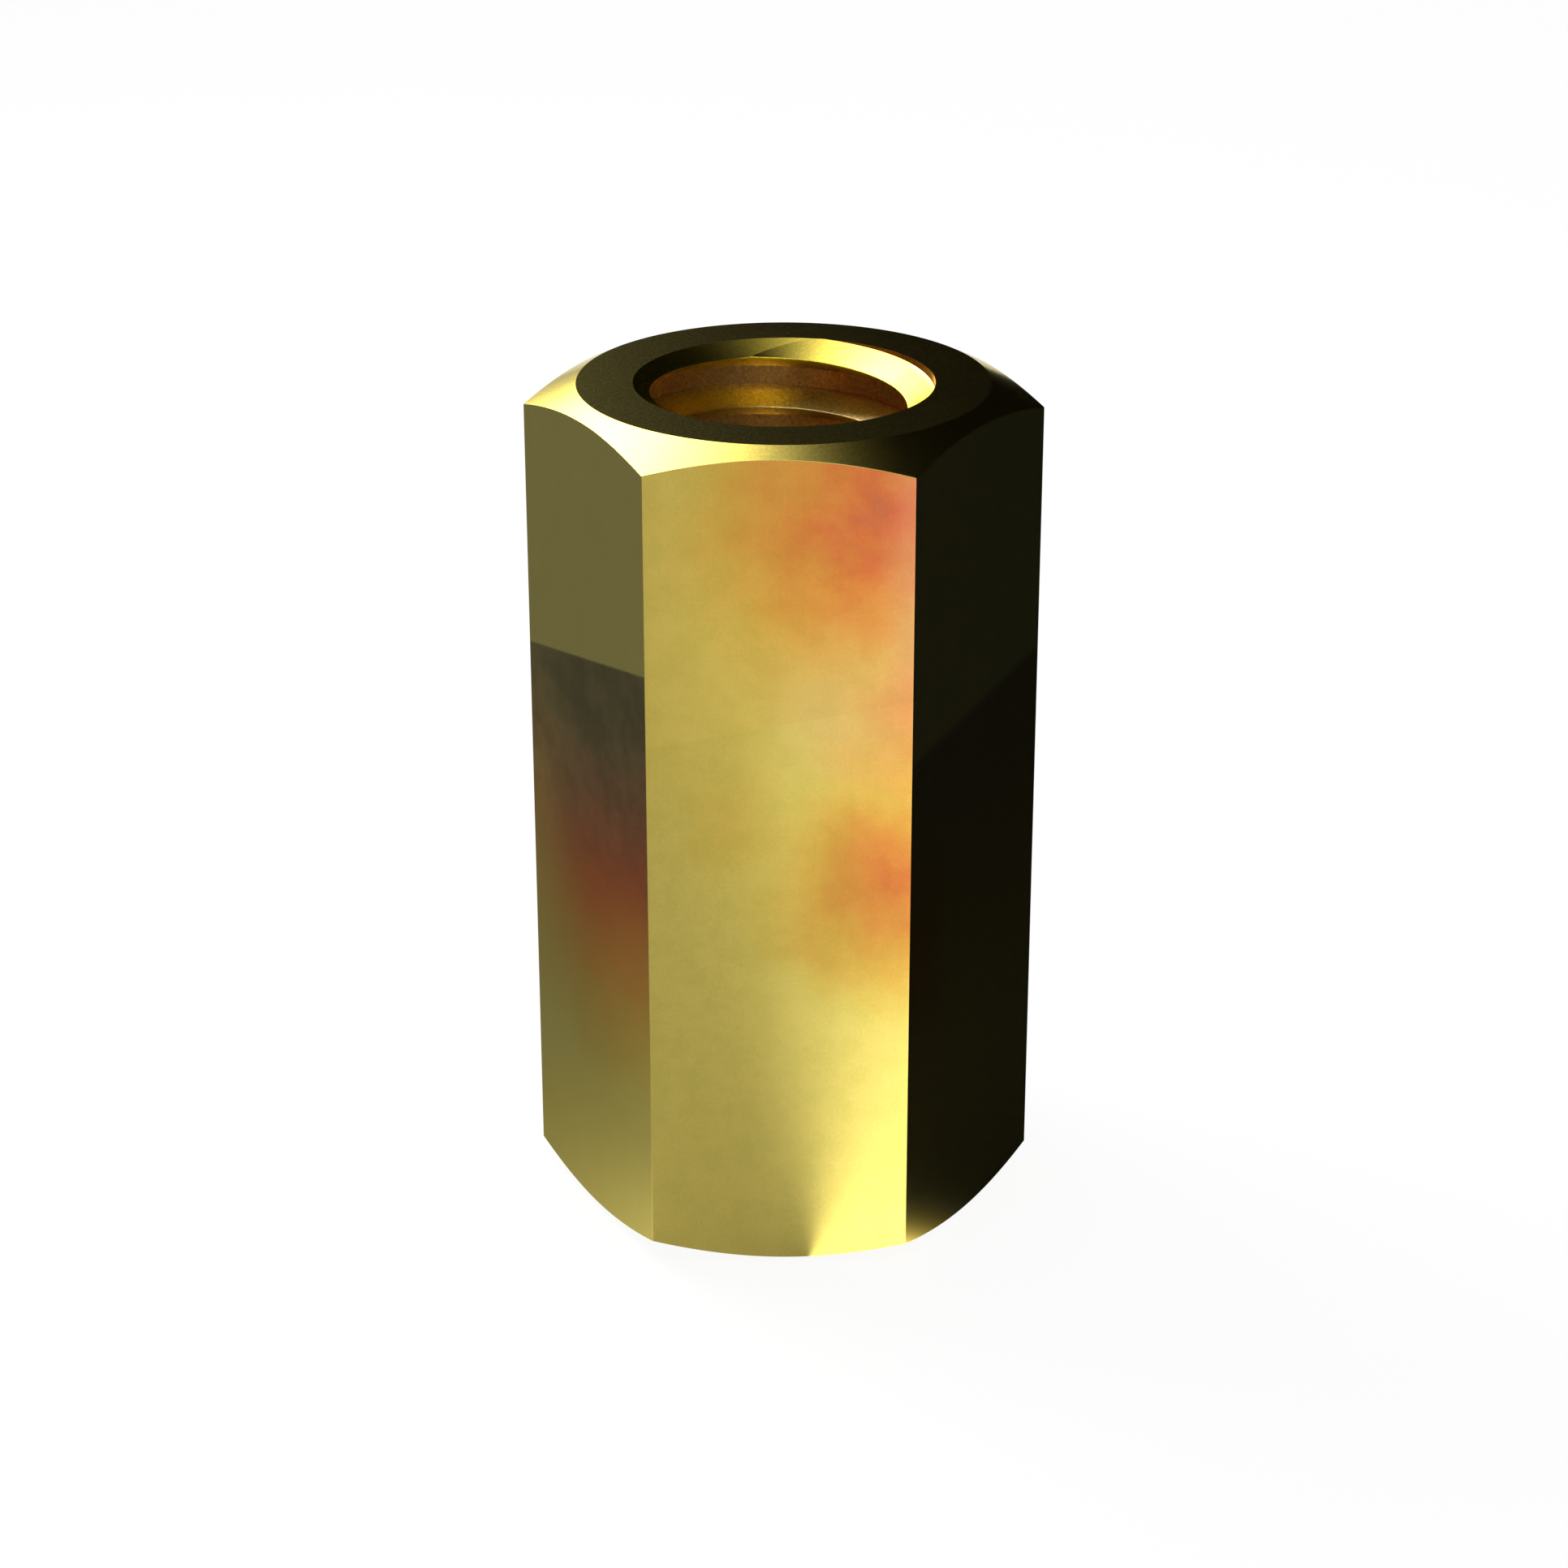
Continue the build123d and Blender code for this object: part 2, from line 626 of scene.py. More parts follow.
turned_rings, given, result = new_group("turned rings", {"Place": (0, 0, 0), "Feed": 0.05}, "Height")
flattened = vector_calc(turned_rings, "MULTIPLY", given["Place"], (1, 1, 0))
radius = vector_calc(turned_rings, "LENGTH", flattened)
wobble = noise(turned_rings, given["Place"], 1.2, 2.0)
turns = calc(turned_rings, "DIVIDE", radius, given["Feed"])
turns = calc(turned_rings, "ADD", turns, calc(turned_rings, "MULTIPLY", wobble, 3.0))
wave = calc(turned_rings, "SINE", calc(turned_rings, "MULTIPLY", turns, 2 * pi))
turned_rings.links.new(calc(turned_rings, "MULTIPLY_ADD", wave, 0.5, 0.5), result)

fine_grain, given, result = new_group("fine grain", {"Place": (0, 0, 0)}, "Grain")
fine_grain.links.new(noise(fine_grain, given["Place"], 26.0, 2.0, 0.6), result)
print("made groups:", drawn_lines.name, turned_rings.name, "and", fine_grain.name)

# %% [markdown]
# ## Worn edges
#
# Edges are rubbed bright by spanners and by other nuts in the box. The points
# on them already carry a value, so this group only has to read it and break it
# up into patches, because wear is never even.

# %% Group: worn edge
worn_edge, given, result = new_group("worn edge", {"Place": (0, 0, 0), "Patchiness": 0.5}, "Wear")
worn = worn_edge.nodes.new("ShaderNodeAttribute")
worn.attribute_name = "worn"
patchy = smooth_step(worn_edge, noise(worn_edge, given["Place"], 5.0, 3.0), 0.35, 0.65)
keep = calc(worn_edge, "SUBTRACT", 1.0, given["Patchiness"])
share = calc(worn_edge, "MULTIPLY_ADD", patchy, given["Patchiness"], keep)
worn_edge.links.new(calc(worn_edge, "MULTIPLY", worn.outputs["Fac"], share), result)
print("made group:", worn_edge.name)

# %% [markdown]
# ## Bare brass
#
# Every finish on the nut starts as bare metal that stays yellow where it is seen
# edge on, as the photo shows. A sparkle from grain to grain and bright rubbed
# edges turn up again and again, so each of them has a helper.

# %% Metal helpers
edge_on_tint = (0.87, 0.82, 0.55, 1)
worn_brass = (0.70, 0.58, 0.20, 1)


def new_material(name):
    """A new material, with its node tree and its shader."""
    material = bpy.data.materials.new(name)
    material.use_nodes = True
    return material, material.node_tree, material.node_tree.nodes["Principled BSDF"]


def new_finish(name, edge_tint=edge_on_tint):
    """A bare metal material, with its node tree and its shader."""
    finish, tree, shader = new_material(name)
    shader.inputs["Metallic"].default_value = 1.0
    shader.inputs["Specular Tint"].default_value = edge_tint
    return finish, tree, shader


def dress(tree, shader, tint, roughness, height, depth):
    """Gives metal its tint, its roughness, and relief: a height of 0 to 1, worth a depth in metres."""
    tree.links.new(tint, shader.inputs["Base Color"])
    tree.links.new(roughness, shader.inputs["Roughness"])
    node = tree.nodes.new("ShaderNodeBump")
    node.inputs["Distance"].default_value = depth
    tree.links.new(height, node.inputs["Height"])
    tree.links.new(node.outputs["Normal"], shader.inputs["Normal"])


def speckled(tree, tint, grain, share):
    """A tint made a little lighter and darker from grain to grain."""
    level = calc(tree, "MULTIPLY_ADD", grain, share, 1 - share / 2)
    return blend_colours(tree, 1.0, tint, level, "MULTIPLY")


def rubbed(tree, tint, place, patchiness, share):
    """A tint with bright brass on the worn edges."""
    wear = use_group(tree, worn_edge, Place=place, Patchiness=patchiness)
    return blend_colours(tree, calc(tree, "MULTIPLY", wear, share), tint, worn_brass)


print("metal helpers are ready")

# %% [markdown]
# ## The flats
#
# All six flats are the same drawn brass, so one function makes their finish.
# What differs is where the film lies, and on the front and side flats the
# painted reflections, light and shade. Each flat passes that in as a small
# function of its own, because a mark that is set by a place in space would leak
# round the corner onto the next flat. That function gives the film's
# thickness, how much of the flat it covers, and a veil: a colour to multiply
# by, which on the front and side flats is painted light and shade.

# %% Finish of a flat
olive_shade = (0.93, 0.95, 0.90, 1)
flat_wear, flat_patchiness = 0.6, 0.6
least_rough, most_rough, line_rough = 0.235, 0.25, 0.015
line_depth = 0.0000002


def flat_finish(name, facing, stains_and_reflections, mottling, speckle):
    """Drawn brass for the flat that faces a direction in degrees, with its own stains and mottling, and
    on the front and side flats painted reflections, light and shade.
    """
    finish, tree, shader = new_finish(name)
    place = use_group(tree, flat_place, Facing=radians(facing))
    thickness, cover, veil = stains_and_reflections(tree, place)
    film_and_reflection = use_group(tree, film_and_reflection_colour, Thickness=thickness)
    tint = film_and_reflection if cover is None else blend_colours(tree, cover, bare_brass, film_and_reflection)
    lumps = noise(tree, place, 2.0, 8.0, 0.68)
    olive = smooth_step(tree, lumps, 0.38, 0.64, 0.0, mottling)
    tint = blend_colours(tree, olive, tint, olive_shade, "MULTIPLY")
    # On the front and side flats the veil is painted light and shade.
    if veil is not None:
        tint = blend_colours(tree, 1.0, tint, veil, "MULTIPLY")
    tint = rubbed(tree, tint, place, flat_patchiness, flat_wear)
    tint = speckled(tree, tint, use_group(tree, fine_grain, Place=place), speckle)
    lines = use_group(tree, drawn_lines, Place=place)
    haze = noise(tree, place, 0.55, 4.0, 0.6)
    dull = smooth_step(tree, haze, 0.3, 0.75, least_rough, most_rough)
    roughness = calc(tree, "MULTIPLY_ADD", lines, line_rough, dull)
    dress(tree, shader, tint, roughness, lines, line_depth)
    return finish


print("one finish for all six flats is ready")

# %% [markdown]
# ## Setting out stains and painted light
#
# Three kinds of mark make up every stain in the photo: clouds of film, a
# slanting line, and veils that darken, lighten or tint what is under them. On
# the front and side flats the clouds are painted reflections in the film's
# colours, the line is the painted edge of a mirrored floor, and the veils are
# painted light and shade. Each kind is a helper.

# %% Stain and painted light helpers
white = (1, 1, 1, 1)
join = 0.08


def cloud(tree, place, across, up, wide, tall, ragged):
    """How much a soft ragged cloud covers, from its centre and its reach in millimetres."""
    centre, reach = (across, 0, up), (wide, 1, tall)
    return use_group(tree, stain_and_light_cloud, Place=place, Centre=centre, Reach=reach, Raggedness=ragged)


def clouds(tree, place, spots):
    """The thickest of several clouds of film."""
    thickness = 0
    for across, up, wide, tall, thick, ragged in spots:
        cover = cloud(tree, place, across, up, wide, tall, ragged)
        thickness = calc(tree, "SMOOTH_MAX", calc(tree, "MULTIPLY", cover, thick), thickness, join)
    return thickness


def veils(tree, place, first, spots):
    """A colour to multiply a tint by: a first one, then soft clouds of others on top."""
    veil = first
    for across, up, wide, tall, ragged, colour in spots:
        cover = cloud(tree, place, across, up, wide, tall, ragged)
        veil = blend_colours(tree, cover, veil, colour, "MULTIPLY")
    return veil


def above_line(tree, place, level, slope, softness):
    """How far a point is above a slanting line, the painted edge of a mirrored floor, eased from 0 to 1,
    and its way across and up.
    """
    parts = split(tree, place)
    line = calc(tree, "MULTIPLY_ADD", parts["X"], slope, level)
    height = calc(tree, "SUBTRACT", parts["Z"], line)
    return smooth_step(tree, height, -softness, softness), parts["X"], parts["Z"]


def below(tree, above):
    """The other side of an eased line."""
    return calc(tree, "SUBTRACT", 1.0, above)


def hazes(*spots):
    """Stains that are only a few light clouds."""
    return lambda tree, place: (clouds(tree, place, spots), None, None)


print("stain helpers are ready")

# %% [markdown]
# ## The front flat's painted reflections
#
# One large amber cloud fills the top right, with a red core and a pinkish edge
# down the right side, and a second, weaker cloud lies half way down. They are
# painted reflections in the colours of a tarnish film. A faint line, the
# painted edge of a mirrored floor, crosses the flat between them, with painted
# shade below it on the left and painted light below it on the right. The flat
# is also a little darker towards the top. Each cloud is one row here: its place
# on the flat, its reach and how thick or ragged it is.

# %% Painted reflections of the front flat
thickest_on_front = 0.75
front_reflection_clouds = (
    # across, up, wide, tall, thickness, raggedness
    (0.9, 11.0, 3.2, 4.4, 0.60, 0.20),
    (1.05, 10.75, 1.70, 3.3, 0.73, 0.16),
    (0.75, 11.5, 0.9, 1.0, 0.66, 0.15),
    (1.85, 8.0, 2.2, 3.2, 0.44, 0.15),
    (1.75, 5.7, 2.8, 2.4, 0.62, 0.22),
    (-0.87, 9.8, 1.0, 1.0, 0.17, 0.25),
    (-0.6, 6.6, 1.4, 1.6, 0.15, 0.25),
)
# Painted light and shade: veils that tint, lighten and darken the flat.
front_painted_light = (
    # across, up, wide, tall, raggedness, colour
    (1.3, 8.3, 2.0, 1.7, 0.2, (1.0, 1.0, 1.6, 1)),
    (1.9, 10.6, 0.8, 3.0, 0.1, (1.0, 0.82, 2.0, 1)),
    (1.1, 10.7, 0.9, 1.2, 0.2, (0.96, 0.96, 1.06, 1)),
    (1.15, 5.3, 1.8, 2.0, 0.2, (0.80, 0.80, 0.80, 1)),
)


def front_painted_reflections(tree, place):
    """Amber and red clouds of painted reflection, with painted shade and light below a faint line where a
    mirrored floor ends.
    """
    bare, across, up = above_line(tree, place, 7.98, 0.197, 0.02)
    haze = smooth_step(tree, up, 5.5, 8.0, 0.0, 0.09)
    thickness = calc(tree, "SMOOTH_MAX", clouds(tree, place, front_reflection_clouds), haze, join)
    lumps = noise(tree, place, 1.4, 5.0, 0.6)
    thickness = calc(tree, "MULTIPLY", thickness, smooth_step(tree, lumps, 0.25, 0.75, 0.86, 1.14))
    thickness = calc(tree, "MINIMUM", thickness, thickest_on_front)
    # Painted shade below the line on the left, painted light below it on the right.
    painted_to_right = smooth_step(tree, across, -0.6, 0.2)
    under = blend_colours(tree, painted_to_right, (0.955, 0.965, 0.94, 1), (1.03, 1.05, 1.08, 1))
    veil = blend_colours(tree, below(tree, bare), white, under)
    # Darker towards the top.
    to_top = smooth_step(tree, up, 9.0, 11.8)
    veil = blend_colours(tree, to_top, veil, (0.89, 0.89, 0.90, 1), "MULTIPLY")
    return thickness, None, veils(tree, place, veil, front_painted_light)


print(f"front flat: {len(front_reflection_clouds)} clouds and {len(front_painted_light)} veils")

# %% [markdown]
# ## The side flats' painted reflections
#
# The left flat is bare above a sharp slanting line, the painted edge of a
# mirrored floor. Below the line painted reflection in the film's colours is at
# its thickest, slate grey under patches of painted shade, and it thins
# downwards through brown and dark red to bare metal near the foot, with painted
# light low down near the front corner. The right flat has such a line too, with
# painted shade below it that is hardly seen in the dark.

# %% Painted reflections of the left and right flats
# Painted shade below the lines of the left and right flats.
patchy_painted_shade, right_painted_shade = (0.70, 0.72, 0.76, 1), (0.58, 0.53, 0.62, 1)
# Painted light low down on the left flat, near its front corner.
left_painted_light = ((1.6, 4.2, 2.6, 2.7, 0.2, (1.35, 1.3, 1.25, 1)),)
right_reflection_clouds = ((-1.4, 4.5, 1.4, 2.6, 0.36, 0.3),)


def left_painted_reflections(tree, place):
    """Painted reflection in slate, brown and red film colours below a sharp line, the painted edge of a
    mirrored floor, with painted light and shade.
    """
    bare, across, up = above_line(tree, place, 8.31, 0.188, 0.025)
    lumps = calc(tree, "SUBTRACT", noise(tree, place, 0.7, 4.0, 0.55), 0.5)
    height = calc(tree, "MULTIPLY_ADD", lumps, 0.8, up)
    height = calc(tree, "MULTIPLY_ADD", calc(tree, "MULTIPLY", across, across), -0.15, height)
    thick_part = calc(tree, "MULTIPLY_ADD", height, 0.12, 0.093)
    thin_part = calc(tree, "MULTIPLY", calc(tree, "SUBTRACT", height, 2.2), 0.245)
    film_and_reflection = calc(tree, "SMOOTH_MIN", thick_part, thin_part, 0.04, clamp=True)
    least_cover = smooth_step(tree, up, 6.2, 7.5, 0.42, 0.85)
    cover = smooth_step(tree, across, -2.2, 0.3, least_cover, 1.0)
    cover = calc(tree, "MULTIPLY", cover, below(tree, bare))
    # Patches of painted shade below the line.
    patchy_shade = smooth_step(tree, noise(tree, place, 1.5, 6.0, 0.62), 0.35, 0.62)
    patchy_shade = calc(tree, "MULTIPLY", patchy_shade, smooth_step(tree, up, 4.5, 7.0))
    veil = blend_colours(tree, calc(tree, "MULTIPLY", patchy_shade, below(tree, bare)), white, patchy_painted_shade)
    return film_and_reflection, cover, veils(tree, place, veil, left_painted_light)


def right_painted_reflections(tree, place):
    """A light film of painted reflection, and painted shade below a slanting line, the painted edge of a
    mirrored floor.
    """
    bare, _, up = above_line(tree, place, 7.69, 0.158, 0.03)
    # Painted shade below the line, growing upwards.
    painted_tone = calc(tree, "MULTIPLY", below(tree, bare), smooth_step(tree, up, 1.5, 7.5))
    haze = smooth_step(tree, up, 4.0, 7.0, 0.12, 0.0)
    film_and_reflection = calc(tree, "SMOOTH_MAX", clouds(tree, place, right_reflection_clouds), haze, join)
    return film_and_reflection, None, blend_colours(tree, painted_tone, white, right_painted_shade)


# Each of these lines is a painted edge of a mirrored floor.
print("left and right flats: a painted floor edge each")

# %% [markdown]
# ## All six flats
#
# Nobody can see the rear flats in the photo. They are drawn brass like the
# others, and a few light clouds keep them from looking newer than the rest. The
# front flat is the most mottled of the six.

# %% Finish the flats
flat_stains_and_reflections = {
    "front flat": front_painted_reflections,
    "left flat": left_painted_reflections,
    "right flat": right_painted_reflections,
    "right rear flat": hazes((0.9, 8.2, 1.2, 2.6, 0.30, 0.5), (-0.4, 2.6, 1.8, 1.4, 0.18, 0.4)),
    "rear flat": hazes((-0.8, 9.4, 1.7, 2.2, 0.32, 0.5), (1.0, 5.2, 1.1, 2.8, 0.22, 0.5)),
    "left rear flat": hazes((0.3, 4.0, 1.8, 2.6, 0.34, 0.5), (1.2, 9.7, 1.2, 1.8, 0.20, 0.4)),
}
finishes = {}
for facing, name in flat_names.items():
    mottling, speckle = (1.0, 0.15) if name == "front flat" else (0.4, 0.1)
    finishes[name] = flat_finish(name, facing, flat_stains_and_reflections[name], mottling, speckle)
print("made finishes:", ", ".join(finishes))

# %% [markdown]
# ## The turned surfaces
#
# The end rings, chamfers and countersinks are as they came off the lathe: no
# film, but hardly visible rings of feed marks and a fine grain. They mirror more
# sharply than the drawn flats. The end ring is the greyest, because a parting
# tool leaves more grain than a turning tool, and painted shade makes it dimmer
# on the left. The countersink is a deeper yellow, even where it is seen edge on.

# %% Finishes of the turned surfaces
turned_brass = (0.62, 0.495, 0.105, 1)
faced_brass = (0.54, 0.455, 0.15, 1)
sink_brass = (0.60, 0.475, 0.075, 1)
sink_edge_tint = (0.85, 0.76, 0.30, 1)
cloudy_shade = (0.90, 0.92, 0.88, 1)
lathe_feed, ring_depth = 0.09, 0.00000002


def turned_finish(name, tint, roughness, grain_depth, speckle, edge_wear=0.3, painted_shade_left_level=1.0,
                  edge_tint=edge_on_tint):
    """Brass off the lathe, with rings and grain of its own; its left side can be dimmed with painted
    shade.
    """
    finish, tree, shader = new_finish(name, edge_tint)
    place = use_group(tree, flat_place)
    rings = use_group(tree, turned_rings, Place=place, Feed=lathe_feed)
    grain = use_group(tree, fine_grain, Place=place)
    cloudy = smooth_step(tree, noise(tree, place, 1.1, 3.0), 0.35, 0.7)
    colour = blend_colours(tree, calc(tree, "MULTIPLY", cloudy, 0.3), tint, cloudy_shade, "MULTIPLY")
    if edge_wear:
        colour = rubbed(tree, colour, place, 0.5, edge_wear)
    colour = speckled(tree, colour, grain, speckle)
    # Painted shade: the left side is darker.
    if painted_shade_left_level < 1:
        level = smooth_step(tree, split(tree, place)["X"], -2.3, 1.5, painted_shade_left_level, 1.0)
        colour = blend_colours(tree, 1.0, colour, level, "MULTIPLY")
    rough = calc(tree, "MULTIPLY_ADD", grain, 0.03, roughness - 0.02)
    rough = calc(tree, "MULTIPLY_ADD", cloudy, 0.01, rough)
    height = calc(tree, "MULTIPLY_ADD", grain, grain_depth / ring_depth, rings)
    dress(tree, shader, colour, rough, height, ring_depth)
    return finish


finishes["end ring"] = turned_finish("end ring", faced_brass, 0.135, 0.0000007, 2.0, painted_shade_left_level=0.66)
finishes["chamfer"] = turned_finish("chamfer", turned_brass, 0.145, 0.00000015, 0.6)
finishes["countersink"] = turned_finish(
    "countersink", sink_brass, 0.16, 0.0000001, 0.5, edge_wear=0.0, edge_tint=sink_edge_tint
)
print("made finishes: end ring, chamfer, countersink")

# %% [markdown]
# ## The thread
#
# The tap cut last, so its flanks are clean. Oil stays in the root, where nobody
# wipes, and browns it. The thread also carries painted light and shade across
# the hole: flanks and root are lighter on the left, with a painted sheen on the
# root there, and darker on the right, where the root is browned by oil and
# darkened by painted shade. How deep a point lies is its distance from the
# axis, so the two tints need no mask. The first turn below the mouth is as
# yellow as the countersink that it runs out through.

# %% Finish of the thread
clean_lit_flank_left, clean_shaded_flank_right = (0.86, 0.69, 0.24, 1), (0.70, 0.50, 0.18, 1)
oily_root_sheen_left, oily_shaded_root_right = (0.84, 0.69, 0.41, 1), (0.66, 0.31, 0.13, 1)
first_turn_tint = (0.88, 0.72, 0.062, 1)
first_turn_depth, first_turn_fade = 0.30, 0.12
root_fade = (0.06, 0.01)
thread_grain_depth = 0.0000003


def thread_finish():
    """Tapped brass, clean on the flanks and browned by oil at the root, with painted light on the left
    and painted shade on the right.
    """
    finish, tree, shader = new_finish("tapped thread")
    place = use_group(tree, flat_place)
    across = vector_calc(tree, "LENGTH", vector_calc(tree, "MULTIPLY", place, (1, 1, 0)))
    deep = smooth_step(tree, across, root_radius - root_fade[0], root_radius - root_fade[1])
    parts = split(tree, place)
    patches = noise(tree, place, 1.6, 3.0)
    # Painted light and shade across the hole: lighter on the left, darker on the right.
    painted_to_right = smooth_step(tree, calc(tree, "MULTIPLY_ADD", patches, 1.2, parts["X"]), 0.0, 1.8)
    painted_tone = blend_colours(tree, painted_to_right, oily_root_sheen_left, oily_shaded_root_right)
    clean = blend_colours(tree, painted_to_right, clean_lit_flank_left, clean_shaded_flank_right)
    top = length - first_turn_depth
    first_turn = smooth_step(tree, parts["Z"], top - first_turn_fade, top)
    clean = blend_colours(tree, first_turn, clean, first_turn_tint)
    tint = blend_colours(tree, deep, clean, painted_tone)
    grain = use_group(tree, fine_grain, Place=place)
    tint = speckled(tree, tint, grain, 1.0)
    dress(tree, shader, tint, calc(tree, "MULTIPLY_ADD", grain, 0.04, 0.22), grain, thread_grain_depth)
    return finish


finishes["thread"] = thread_finish()
print("made finish:", finishes["thread"].name)

# %% [markdown]
# ## Dressing the nut
#
# Each face takes the finish of the surface that it was sorted into. The skin
# then rides on the frame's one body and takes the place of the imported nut.

# %% Put the finishes on the nut
nut.data.materials.clear()
order = list(finishes)
for name in order:
    nut.data.materials.append(finishes[name])
for name, faces in surfaces.items():
    for index in faces:
        nut.data.polygons[index].material_index = order.index(name)

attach(nut, "root")
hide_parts("coupling_nut")
print("finished surfaces:", ", ".join(order))

# %% [markdown]
# ## The camera
#
# The camera stands where the photographer's did: a long lens, a little above
# the nut, looking down at 23 degrees, and a degree to the right of the front
# flat. The angles, distance and focal length come from matching the nut's
# corners in the photo, so the perspective is the same too.

# %% Camera
photo_lens = 87.97
photo_turn, photo_tilt = radians(1.18), radians(23.003)
photo_distance = 53.03 * MM
photo_aim = Vector((0, 0, 5.938 * MM))
photo_shift = (0.00026, -0.00204)

camera_data = bpy.data.cameras.new("camera")
camera_data.lens = photo_lens
camera_data.sensor_width = 36
camera_data.shift_x, camera_data.shift_y = photo_shift
camera_data.clip_start, camera_data.clip_end = 1 * MM, 10
camera = bpy.data.objects.new("camera", camera_data)
back = Vector((sin(photo_turn) * cos(photo_tilt), -cos(photo_turn) * cos(photo_tilt), sin(photo_tilt)))
camera.location = photo_aim + back * photo_distance
camera.rotation_euler = back.to_track_quat("Z", "Y").to_euler()
bpy.context.scene.collection.objects.link(camera)
bpy.context.scene.camera = camera
bpy.context.scene.view_settings.view_transform = "Standard"
print(f"camera {photo_distance / MM:.1f} mm from the nut")

# %% [markdown]
# ## The floor
#
# The nut stands on a pale, matt floor. The camera and the brass see it mostly as
# a glow, through Light Path, so it comes out nearly white and the nut's shadow
# stays faint. The light that it throws back is only that of matt paper.

# %% Floor
floor_reach = 600
floor_lift = 0.92


def background_rays(tree):
    """1 for rays that show a background: straight from the camera, or by way of metal or glass."""
    path = tree.nodes.new("ShaderNodeLightPath").outputs
    seen = calc(tree, "MAXIMUM", path["Is Camera Ray"], path["Is Glossy Ray"])
    return calc(tree, "MAXIMUM", seen, path["Is Transmission Ray"])


def flat_sheet(name, corners):
    """A flat polygon through corners given in millimetres."""
    mesh = bmesh.new()
    mesh.faces.new([mesh.verts.new(Vector(corner) * MM) for corner in corners])
    return as_object(name, mesh)


floor_corners = [(floor_reach * x, floor_reach * y, 0) for x, y in ((-1, -1), (1, -1), (1, 1), (-1, 1))]
floor = flat_sheet("floor", floor_corners)
paper, tree, matt = new_material("pale floor")
matt.inputs["Base Color"].default_value = (0.90, 0.90, 0.90, 1)
matt.inputs["Roughness"].default_value = 0.9
matt.inputs["Specular IOR Level"].default_value = 0.0
glow = tree.nodes.new("ShaderNodeEmission")
lift = tree.nodes.new("ShaderNodeMixShader")
feed(tree, lift, calc(tree, "MULTIPLY", background_rays(tree), floor_lift))
tree.links.new(matt.outputs["BSDF"], lift.inputs[1])
tree.links.new(glow.outputs["Emission"], lift.inputs[2])
tree.links.new(lift.outputs["Shader"], tree.nodes["Material Output"].inputs["Surface"])
floor.data.materials.append(paper)
print(f"floor {2 * floor_reach} mm wide")

# %% [markdown]
# ## The room
#
# The room gives an even light from all sides, and the camera and the brass see
# it as plain white.

# %% World
room_light = 0.85
world = bpy.data.worlds.new("pale room")
bpy.context.scene.world = world
world.use_nodes = True
tree = world.node_tree
room = tree.nodes["Background"]
room.inputs["Color"].default_value = white
extra = calc(tree, "MULTIPLY", background_rays(tree), 1.0 - room_light)
tree.links.new(calc(tree, "ADD", extra, room_light), room.inputs["Strength"])
print(f"room light {room_light}, seen as 1")

# %% [markdown]
# ## The softbox
#
# The highlights in the photo put its lamp behind the nut, on the left and above.
# A softbox there gives the floor its light and its soft shadow. Its reflection
# is switched off, because the brass gets that from the cards that come next.

# %% Softbox
lamp_turn, lamp_tilt, lamp_distance = 144, 47, 60
softbox_size, softbox_level = 30, 10.0


def from_nut(turn, tilt, away):
    """A point at a direction in degrees and a distance from the nut in millimetres."""
    turn, tilt = radians(turn), radians(tilt)
    return Vector((cos(turn) * cos(tilt), sin(turn) * cos(tilt), sin(tilt))) * away


softbox = bpy.data.lights.new("softbox", "AREA")
softbox.size = softbox_size * MM
softbox.energy = softbox_level * pi * (softbox_size * MM) ** 2
lamp = bpy.data.objects.new("softbox", softbox)
lamp.location = from_nut(lamp_turn, lamp_tilt, lamp_distance) * MM
lamp.rotation_euler = lamp.location.to_track_quat("Z", "Y").to_euler()
lamp.visible_glossy = False
bpy.context.scene.collection.objects.link(lamp)
print(f"softbox {softbox_size} mm square, {lamp_distance} mm away")

# %% [markdown]
# ## Cards
#
# Metal is photographed by choosing what it mirrors, and a photographer does
# that with white, grey and black cards. These cards are only there for
# reflections: they throw no light or shadow, and the camera doesn't see them.
# Some lie on the floor, and some are bent into part of a dome round the nut.

# %% Card helpers
dome_radius, dome_steps = 300, 24


def glowing(name, colour=white):
    """A material that only glows; gives the material, its tree and its Emission node."""
    material, tree, shader = new_material(name)
    tree.nodes.remove(shader)
    glow = tree.nodes.new("ShaderNodeEmission")
    glow.inputs["Color"].default_value = colour
    tree.links.new(glow.outputs["Emission"], tree.nodes["Material Output"].inputs["Surface"])
    return material, tree, glow


def hang_card(piece, material):
    """Makes a sheet a card that only reflections see."""
    piece.data.materials.append(material)
    piece.visible_camera = False
    piece.visible_diffuse = False
    piece.visible_transmission = False
    piece.visible_volume_scatter = False
    piece.visible_shadow = False


def dome_sheet(name, turns, tilts):
    """Part of a half dome round the nut, between two bearings and two heights in degrees."""
    mesh = bmesh.new()
    rows = []
    for up in range(dome_steps + 1):
        tilt = tilts[0] + (tilts[1] - tilts[0]) * up / dome_steps
        row = []
        for round_it in range(dome_steps + 1):
            turn = turns[0] + (turns[1] - turns[0]) * round_it / dome_steps
            row.append(mesh.verts.new(from_nut(turn, tilt, dome_radius) * MM))
        rows.append(row)
    for low, high in zip(rows, rows[1:]):
        for step in range(dome_steps):
            mesh.faces.new((low[step], low[step + 1], high[step + 1], high[step]))
    return as_object(name, mesh)


print("card helpers are ready")

